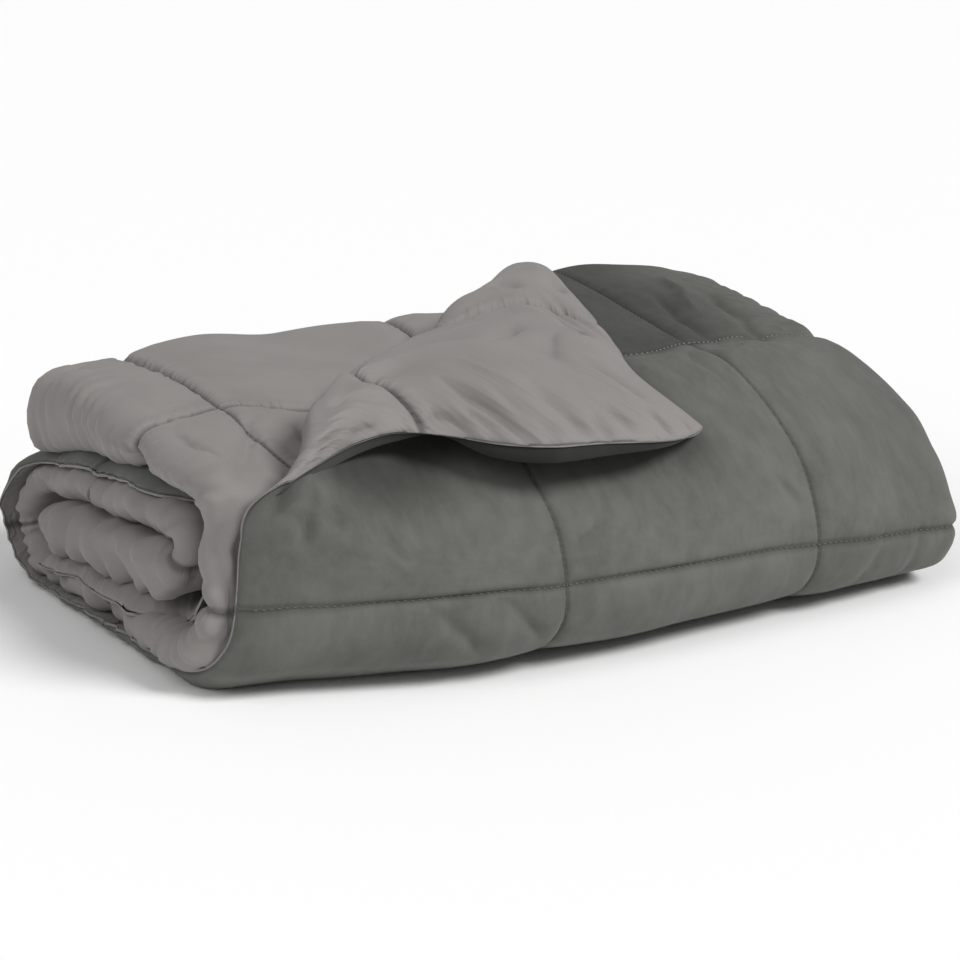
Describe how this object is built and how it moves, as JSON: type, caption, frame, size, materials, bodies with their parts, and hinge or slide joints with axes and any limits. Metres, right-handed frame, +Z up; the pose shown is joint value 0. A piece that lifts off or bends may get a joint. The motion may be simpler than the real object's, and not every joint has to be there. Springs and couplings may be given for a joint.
{
  "type": "folded duvet",
  "caption": "Box-quilted reversible duvet, folded in thirds and wound flat, with one corner turned back to show the lighter face.",
  "frame": {"origin": "middle of the folded bundle's footprint, on the surface it lies on", "axes": "+X along the bundle towards the plain folded end, +Y from the rolled front towards the end hem, +Z up"},
  "size_m": [0.8032, 0.543, 0.2685],
  "materials": {
    "velvet": "short dark green-grey velvet pile, soft sheen",
    "cotton": "smooth warm taupe plain weave, matt"
  },
  "bodies": {
    "root": {"duvet": "velvet"}
  },
  "joints": []
}
